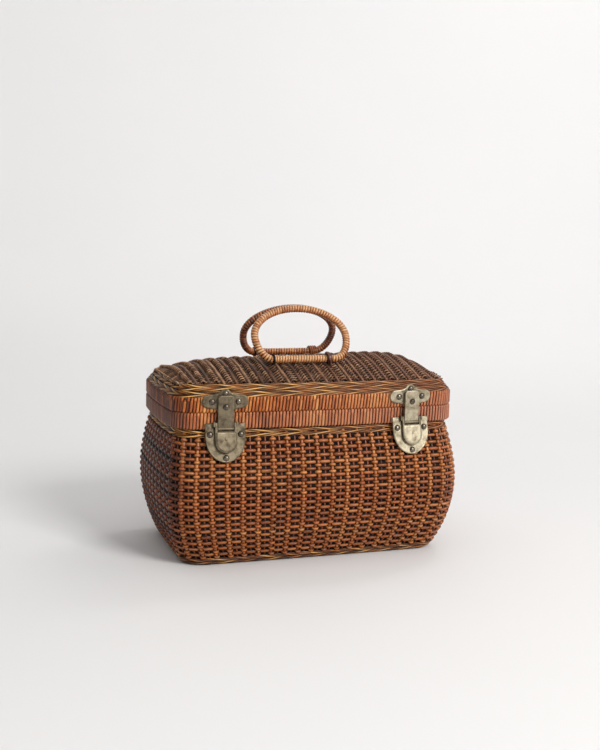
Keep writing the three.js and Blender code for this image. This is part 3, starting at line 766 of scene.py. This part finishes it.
def rounded_section(half_width, half_height, radius, per_corner=3, per_side=3):
    """Points and outward directions of a rounded rectangle, once round."""
    points, outs = [], []
    for quarter in range(4):
        centre_x = (half_width - radius) * (1 if quarter in (0, 3) else -1)
        centre_y = (half_height - radius) * (1 if quarter in (0, 1) else -1)
        for k in range(per_corner + 1):
            angle = (quarter + k / per_corner) * math.pi / 2
            points.append((centre_x + radius * math.cos(angle), centre_y + radius * math.sin(angle)))
            outs.append((math.cos(angle), math.sin(angle)))
        angle = (quarter + 1) * math.pi / 2
        nx, ny = math.cos(angle), math.sin(angle)
        start = np.array(points[-1])
        length = 2 * ((half_width if quarter % 2 == 0 else half_height) - radius)
        direction = np.array([-ny, nx])
        count = per_side if quarter % 2 else 1
        for k in range(1, count + 1):
            points.append(tuple(start + direction * length * k / (count + 1)))
            outs.append((nx, ny))
    return np.array(points), np.array(outs)


def wrapped_hoop(name, node, body, pitch, skew, tint, warm):
    """A flat hoop wound with cane, each turn leaning a little."""
    low, high = span(node)
    half_height = (high[2] - low[2]) / 2
    middle_z = (high[2] + low[2]) / 2
    section, outward = rounded_section(HOOP_HALF_THICKNESS - 0.35, half_height - 0.35, 1.5)
    perimeter = plan_breaks(HOOP_PLAN)[1]
    turns = int(round(perimeter / pitch))
    around = len(section)
    turn = np.repeat(np.arange(turns), around)
    q = np.tile(np.arange(around) / around, turns)
    points = np.tile(section, (turns, 1))
    outs = np.tile(outward, (turns, 1))
    t = (turn + q + skew * points[:, 1] / pitch) / turns
    inset = HOOP_HALF_THICKNESS - points[:, 0]
    path = hoop_surface(t, middle_z + points[:, 1], inset)
    level = surface_normal(hoop_surface, t, np.full_like(t, middle_z))
    normal = unit(level * outs[:, :1] + np.array([0, 0, 1.0]) * outs[:, 1:])
    per_turn = np.repeat(rng.normal(0, 1, turns), around)
    slow = np.repeat(wandering(1, turns, 14)[0], around)
    shade = tint + 0.1 * per_turn + 0.08 * slow - HOOP_SHADE_AND_AGE_SHARE * left_end_shade_and_age(path, 130)
    width = pitch * 0.5 * (1 + 0.04 * per_turn)
    wrap = single_strand(name, HOOP_CANE, path, normal, width[None], 0.72, True, shade[None], warm(path)[None],
                         flat=0.5)
    settle(wrap, body, "hoop_cane", node)
    # The near-black core shows in the gaps between the turns as painted shade.
    t = np.arange(240) / 240
    centre = hoop_surface(t, np.full(240, middle_z), HOOP_HALF_THICKNESS)
    level = surface_normal(hoop_surface, t, np.full(240, middle_z))
    core = single_strand(f"{name}_core", SHADE_AND_DARK_CANE, centre, level, half_height - 0.5, HOOP_HALF_THICKNESS - 0.5,
                         True, sides=12, flat=1.0)
    settle(core, body, "hoop_cane", node)


def make_hoops():
    wrapped_hoop("lid_hoop_wrap", "lid_hoop", "lid", 3.15, 0.05, 0.6,
                 lambda p: np.clip(0.2 + 0.4 * p[..., 0] / 150, 0, 1))
    wrapped_hoop("body_hoop_wrap", "body_hoop", "basket", 3.15, 0.0, 0.52,
                 lambda p: np.clip(0.55 + 0.3 * p[..., 0] / 150, 0, 1))


# ---- handles
def handle_line(count):
    """Evenly spaced points of a handle's centre line in its own plane: a straight run, corners and an arch."""
    corner_w, corner_h = HANDLE_CORNER
    run = HANDLE_HALF_WIDTH - corner_w
    straight = np.stack([np.linspace(-run, run, 60), np.zeros(60)], axis=1)

    def arc(cx, cy, rx, ry, start, end):
        angle = np.linspace(start, end, 120)[1:]
        return np.stack([cx + rx * np.cos(angle), cy + ry * np.sin(angle)], axis=1)

    quarter = math.pi / 2
    dense = np.concatenate([
        straight,
        arc(run, corner_h, corner_w, corner_h, -quarter, 0),
        arc(0, corner_h, HANDLE_HALF_WIDTH, HANDLE_HEIGHT - corner_h, 0, 2 * quarter),
        arc(-run, corner_h, corner_w, corner_h, 2 * quarter, 3 * quarter),
    ])
    return spaced(dense, count)


def make_handle(name, way):
    """A leaning ring wound with cane. way is -1 for the front handle and 1 for the back one."""
    lean = math.asin((HANDLE_Y - HANDLE_TOP_Y) / HANDLE_HEIGHT)
    up = np.array([0, -way * math.sin(lean), math.cos(lean)])
    right = np.array([1.0, 0, 0])
    origin = np.array([HANDLE_X, way * HANDLE_Y, HANDLE_Z])
    around = 12
    turns = int(round(handle_line(around)[1] / HANDLE_WRAP_PITCH))
    line = handle_line(turns * around)[0]
    centre = origin + right * line[:, :1] + up * line[:, 1:]
    tangent = unit(np.roll(centre, -1, axis=0) - np.roll(centre, 1, axis=0))
    across = np.cross(right, up)
    inwards = unit(np.cross(tangent, across))
    angle = np.arange(turns * around) / around * TAU
    out = inwards * np.cos(angle)[:, None] + across * np.sin(angle)[:, None]
    per_turn = np.repeat(rng.normal(0, 1, turns), around)
    straight_run = line[:, 1] < 3
    # Painted light besides a random tone per turn: the back handle is darker than the front one, each turn is
    # lighter on top than underneath, and the straight run is lightened.
    shade = (0.7 if way < 0 else 0.42) + 0.07 * per_turn + 0.2 * out[:, 2]
    shade = shade + 0.16 * straight_run
    path = centre + out * (HANDLE_RADIUS - 0.55)
    wrap = single_strand(f"{name}_wrap", HANDLE_CANE, path, out, 1.46, 0.6, True, shade[None], 0.2, flat=0.5)
    settle(wrap, name, "handle_cane", name)
    # The near-black core shows in the gaps between the turns as painted shade.
    line = handle_line(120)[0]
    centre = origin + right * line[:, :1] + up * line[:, 1:]
    level = np.broadcast_to(across, centre.shape)
    core = single_strand(f"{name}_core", SHADE_AND_DARK_CANE, centre, level, 3.3, 3.3, True, flat=1.0)
    settle(core, name, "handle_cane", name)


def binding(name, node, x, y, material, turns, cane_radius, spread):
    """A few turns of cane round a handle's straight run and through the lid."""
    steps = 14 * turns + 1
    angle = np.linspace(0, turns * TAU, steps)
    radius = HANDLE_RADIUS + cane_radius + 0.15
    out = np.stack([np.zeros(steps), np.cos(angle), np.sin(angle)], axis=1)
    path = np.array([x, y, HANDLE_Z]) + out * radius
    path[:, 0] += np.linspace(-spread / 2, spread / 2, steps)
    piece = single_strand(name, material, path, out, cane_radius, cane_radius, False, 0.5, flat=0.8)
    settle(piece, "lid", "binding_cane", node)


def knot_end(name, x, y, way):
    """The pointed end of a lashing, folded over the handle and down onto the lid."""
    angle = np.linspace(math.radians(100), math.radians(-25), 12)
    radius = HANDLE_RADIUS + 2.6
    curl = np.stack([np.linspace(-2.5, 0.5, 12), way * np.cos(angle) * radius, np.sin(angle) * radius], axis=1)
    tip = curl[-1] + np.array([0.6, way * 1.6, -5.5])
    path = np.concatenate([curl, [curl[-1] * 0.5 + tip * 0.5, tip]]) + np.array([x, y, HANDLE_Z])
    out = unit(path - np.array([x, y, HANDLE_Z]))
    width = np.concatenate([np.linspace(1.6, 2.5, 9), [2.2, 1.8, 1.3, 0.8, 0.2]])
    piece = single_strand(name, KNOT_CANE, path, out, width[None], 0.7, False, 0.55, 0.2, sides=8)
    settle(piece, "lid", "binding_cane")


def make_handles():
    left_x = HANDLE_X - BINDING_OFFSET - 3
    front_x = HANDLE_X + BINDING_OFFSET - 4
    back_x = HANDLE_X + BINDING_OFFSET + 2
    for name, way in (("front_handle", -1), ("back_handle", 1)):
        make_handle(name, way)
        binding(f"{name}_lashing_left", f"{name}_binding_left", left_x, way * HANDLE_Y, SHADE_AND_DARK_CANE,
                turns=2, cane_radius=0.75, spread=1.6)
    binding("front_handle_lashing_right", "front_handle_binding_right", front_x, -HANDLE_Y, KNOT_CANE,
            turns=3, cane_radius=1.0, spread=4.6)
    knot_end("front_handle_knot", front_x, -HANDLE_Y, -1)
    binding("back_handle_lashing_right", "back_handle_binding_right", back_x, HANDLE_Y, HANDLE_CANE,
            turns=4, cane_radius=1.15, spread=8.5)


# ---- metal
def finish_metal():
    """Gives the CAD latches and hinges their worn nickel and softens their edges."""
    for name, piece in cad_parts.items():
        if not any(word in name for word in ("keeper", "latch", "lever", "strap", "hinge")):
            continue
        dark = any(word in name for word in ("rivet", "stud", "pin"))
        material = RIVET if dark else NICKEL
        for slot in piece.material_slots:
            slot.material = material
        bevel = piece.modifiers.new("edges", "BEVEL")
        bevel.width = 0.25 * MM
        bevel.segments = 2
        bevel.limit_method = "ANGLE"
        bevel.angle_limit = math.radians(35)


SEAM_Z = span("body_hoop")[1][2]
LATCHES = {"left": -99.0, "right": 92.5}
LATCH_TILT = math.radians(14)


def latch_place(x, tilted):
    """A function that carries (x, out, z) of a latch's own frame to the basket's frame."""
    half_x = HOOP_PLAN[0] - HOOP_PLAN[4]
    bow = HOOP_PLAN[3]
    y = -(HOOP_PLAN[1] - bow) - bow * (1 - (x / half_x) ** 2)
    turn = math.atan(2 * bow * x / half_x ** 2)

    def carry(points):
        px, out, z = np.moveaxis(np.asarray(points, float), -1, 0)
        if tilted:
            lean, rise = math.sin(LATCH_TILT), math.cos(LATCH_TILT)
            out, z = 0.4 + out * rise - z * lean, -10 + z * rise + out * lean
        return np.stack([x + px * math.cos(turn) + out * math.sin(turn),
                         y + px * math.sin(turn) - out * math.cos(turn), SEAM_Z + z], axis=-1)
    return carry


def curve_points(*parts):
    """An outline of arcs (centre, radii, from, to), curves through three control points, and corners (at)."""
    points = []
    for kind, *values in parts:
        if kind == "at":
            points += values
        elif kind == "arc":
            cx, cz, rx, rz, start, end = values
            angles = np.radians(np.linspace(start, end, 24))
            points += [(cx + rx * math.cos(angle), cz + rz * math.sin(angle)) for angle in angles]
        else:
            p, q, r = np.array(values)
            points += [p * (1 - u) ** 2 + q * 2 * u * (1 - u) + r * u * u for u in np.linspace(0, 1, 12)[1:]]
    return np.array(points, float)


def evenly(points, count=140):
    """The outline closed, without doubled points, in evenly spaced points."""
    closed = np.concatenate([points, points[:1]])
    step = np.linalg.norm(np.diff(closed, axis=0), axis=1)
    return spaced(closed[np.concatenate([[True], step > 1e-6])], count)[0]


def shouldered(x, z, radius, *below):
    """An outline with two round shoulders at the top."""
    return curve_points(("arc", x, z, radius, radius, 0, 90), ("arc", -x, z, radius, radius, 90, 180), *below)


KEEPER_OUTLINE = curve_points(
    ("at", (-6.5, 2)), ("at", (6.5, 2)), ("curve", (6.5, 2), (10, 4.4), (16, 4.7)),
    ("arc", 16, 11.1, 6.4, 6.4, -90, 90), ("curve", (16, 17.5), (8.5, 17.4), (5.2, 20)),
    ("arc", 0, 17.4, 5.7, 5.7, 26, 154), ("curve", (-5.1, 19.9), (-8.5, 17.4), (-16, 17.5)),
    ("arc", -16, 11.1, 6.4, 6.4, 90, 270), ("curve", (-16, 4.7), (-10, 4.4), (-6.5, 2)))
SHIELD_OUTLINE = shouldered(18.3, -1.2, 1.2, ("arc", 0, -13.5, 19.5, 23.7, 180, 360))
LEVER_OUTLINE = shouldered(7.9, -10.7, 2.4, ("arc", 0, -18.1, 10.3, 10.3, 180, 360))
STRAP_OUTLINE = shouldered(4.4, 13.9, 3.3, ("arc", -6.5, -14.7, 1.2, 1.2, 180, 270),
                           ("arc", 6.5, -14.7, 1.2, 1.2, 270, 360))
KEEPER_RIVETS = ((-12.8, 11), (12.8, 11), (0, 18.8))
SHIELD_RIVETS = ((-15, -10.6), (15, -10.6), (0, -33.1))
STUD_Z = 6.4
KEEPER_OUT, SHIELD_OUT, STRAP_OUT = 1.75, 1.45, 5.95
RIVET_RADIUS, RIVET_HEIGHT = 3.1, 2.2


def pressed_plate(name, outline, steps, carry, material):
    """A plate pressed to shape: its edge rises through (inset, out) steps from its back to its face."""
    outline = evenly(outline)
    tangent = unit(np.roll(outline, -1, axis=0) - np.roll(outline, 1, axis=0))
    inwards = np.stack([-tangent[:, 1], tangent[:, 0]], axis=1)
    rings = []
    for inset, out in steps:
        flat = outline + inwards * inset
        rings.append(carry(np.stack([flat[:, 0], np.full(len(flat), out), flat[:, 1]], axis=1)))
    points = np.concatenate(rings) * MM
    count = len(outline)
    faces = [tuple(range(count - 1, -1, -1))] + ring_faces(len(rings), count)
    edge_faces = len(faces)
    middle = (len(rings) - 1) * count
    points = np.concatenate([points, points[middle:].mean(axis=0, keepdims=True)])
    faces += [(middle + k, middle + (k + 1) % count, len(points) - 1) for k in range(count)]
    piece = place(name, faces_mesh(name, points, faces), material)
    piece.data.polygons.foreach_set("use_smooth", [0 < k < edge_faces for k in range(len(faces))])
    return piece


def dome(name, carry, x, z, out, radius, height, material):
    """A low round head on a plate."""
    around, levels = 24, 5
    lift = np.linspace(0, math.pi / 2, levels + 1)[:-1]
    rings = [(radius, -0.2)] + [(radius * math.cos(a), height * math.sin(a)) for a in lift]
    angle = np.arange(around) / around * TAU
    loops = [np.stack([x + r * np.cos(angle), np.full(around, out + h), z + r * np.sin(angle)], axis=1)
             for r, h in rings]
    points = carry(np.concatenate(loops + [np.array([[x, out + height, z]])])) * MM
    faces = [tuple(range(around - 1, -1, -1))] + ring_faces(len(rings), around)
    last = levels * around
    faces += [(last + k, last + (k + 1) % around, last + around) for k in range(around)]
    return place(name, faces_mesh(name, points, faces), material)


def rivet_heads(side, upright, tilted):
    """Round heads in the place of a latch's rivets and stud."""
    heads = [(f"keeper_rivet_{n}", upright, at, KEEPER_OUT, "lid") for n, at in enumerate(KEEPER_RIVETS, 1)]
    heads += [(f"latch_rivet_{n}", tilted, at, SHIELD_OUT, "basket") for n, at in enumerate(SHIELD_RIVETS, 1)]
    heads.append(("strap_stud", upright, (0, STUD_Z), STRAP_OUT, f"{side}_strap"))
    for node, carry, (x, z), out, body in heads:
        piece = dome(f"{side}_{node}_head", carry, x, z, out, RIVET_RADIUS, RIVET_HEIGHT, RIVET)
        settle(piece, body, "rivet_metal", f"{side}_{node}")


# How each plate's edge rises to its face: (inset, out) pairs.
KEEPER_STEPS = ((-0.12, 0.35), (-0.15, 0.9), (0.0, 1.5), (0.5, 1.84), (1.2, 1.88), (2.2, 1.72), (2.8, 1.7))
SHIELD_STEPS = ((-0.12, -0.05), (-0.15, 0.8), (0.05, 1.35), (0.45, 1.6), (0.8, 1.62), (1.15, 1.42))
LEVER_STEPS = ((-0.12, 3.3), (-0.15, 4.5), (0.05, 4.9), (0.4, 5.15), (1.7, 5.55), (2.2, 5.6))
STRAP_STEPS = ((-0.1, 4.5), (-0.12, 5.5), (0.05, 5.8), (0.45, 5.98), (0.9, 6.0))


def make_latches():
    for side, x in LATCHES.items():
        upright, tilted = latch_place(x, False), latch_place(x, True)
        metal = NICKEL if side == "left" else PALE_NICKEL
        for part, outline, steps, carry, body in (
                ("keeper", KEEPER_OUTLINE, KEEPER_STEPS, upright, "lid"),
                ("shield", SHIELD_OUTLINE, SHIELD_STEPS, tilted, "basket"),
                ("lever", LEVER_OUTLINE, LEVER_STEPS, tilted, f"{side}_lever"),
                ("strap", STRAP_OUTLINE, STRAP_STEPS, upright, f"{side}_strap")):
            settle(pressed_plate(f"{side}_{part}_face", outline, steps, carry, metal), body, "nickel")
        rivet_heads(side, upright, tilted)
        settle(dome(f"{side}_lever_pip", tilted, 0, -16.2, 5.58, 1.3, 0.8, metal), f"{side}_lever", "nickel")


# ---- floor, light and camera
def make_stage():
    """A pale round sweep: a floor that curves up into a wall all the way round, greyed to the left by painted
    shade.
    """
    floor_radius, curve, top, around = 1.9, 1.2, 3.6, 64
    angle = np.linspace(0, math.pi / 2, 16)
    r = np.concatenate([[0.4], floor_radius + curve * np.sin(angle), [floor_radius + curve]])
    z = np.concatenate([[0], curve - curve * np.cos(angle), [top]])
    turn = np.arange(around) / around * TAU
    points = [(0, 0, 0)] + [(rr * math.cos(a), rr * math.sin(a), zz) for rr, zz in zip(r, z) for a in turn]
    faces = [(0, 1 + k, 1 + (k + 1) % around) for k in range(around)]
    faces += [(a + 1, d + 1, c + 1, b + 1) for a, b, c, d in ring_faces(len(r), around)]
    mesh = faces_mesh("sweep", points, faces)
    g = Graph("pale_sweep")
    position = g.node("ShaderNodeNewGeometry").outputs["Position"]
    across = g.node("ShaderNodeSeparateXYZ", None, i0=position).outputs[0]
    pale = g.mix(g.noise(position, 2.0), rgba(236, 236, 238), rgba(240, 239, 238))
    # Painted shade: the sweep turns grey towards the left.
    g.feed(g.shader.inputs["Base Color"], g.mix(g.stretch(across, -2.2, -0.8), rgba(158, 157, 156), pale))
    g.shader.inputs["Roughness"].default_value = 0.95
    place("sweep", mesh, g.material)


def make_light():
    """A window in front to the right, a lamp on the far wall and an even sky."""
    world = bpy.data.worlds.new("soft_room")
    bpy.context.scene.world = world
    world.use_nodes = True
    background = world.node_tree.nodes["Background"]
    background.inputs["Color"].default_value = (1.0, 0.99, 0.975, 1)
    background.inputs["Strength"].default_value = 0.64
    for name, place_at, target, size, power, colour in (
            ("window", (0.7, -1.8, 1.3), (0, 0, 0.1), 0.7, 35, (1, 0.985, 0.96)),
            ("backdrop", (1.4, 1.0, 2.3), (0.6, 3.1, 0.9), 1.2, 25, (1, 0.985, 0.97))):
        data = bpy.data.lights.new(name, "AREA")
        data.size = size
        data.energy = power
        data.color = colour
        lamp = bpy.data.objects.new(name, data)
        bpy.context.scene.collection.objects.link(lamp)
        lamp.location = place_at
        lamp.rotation_euler = (Vector(target) - Vector(place_at)).to_track_quat("-Z", "Y").to_euler()


def make_camera():
    right = Vector((0.94519, -0.32556, 0.02499))
    up = Vector((0.02048, 0.13551, 0.99056))
    back = right.cross(up)
    data = bpy.data.cameras.new("camera")
    data.sensor_fit = "HORIZONTAL"
    data.sensor_width = 36
    data.lens = 65.3
    camera = bpy.data.objects.new("camera", data)
    bpy.context.scene.collection.objects.link(camera)
    rotation = Matrix((right, up, back)).transposed().to_4x4()
    camera.matrix_world = Matrix.Translation(Vector((-0.3675, -1.0645, 0.3285))) @ rotation
    bpy.context.scene.camera = camera


bpy.context.scene.view_settings.view_transform = "Standard"
make_camera()
make_stage()
make_light()
make_wall()
make_base_panel()
make_foot()
make_borders()
make_hoops()
make_lid_panel()
make_handles()
finish_metal()
make_latches()
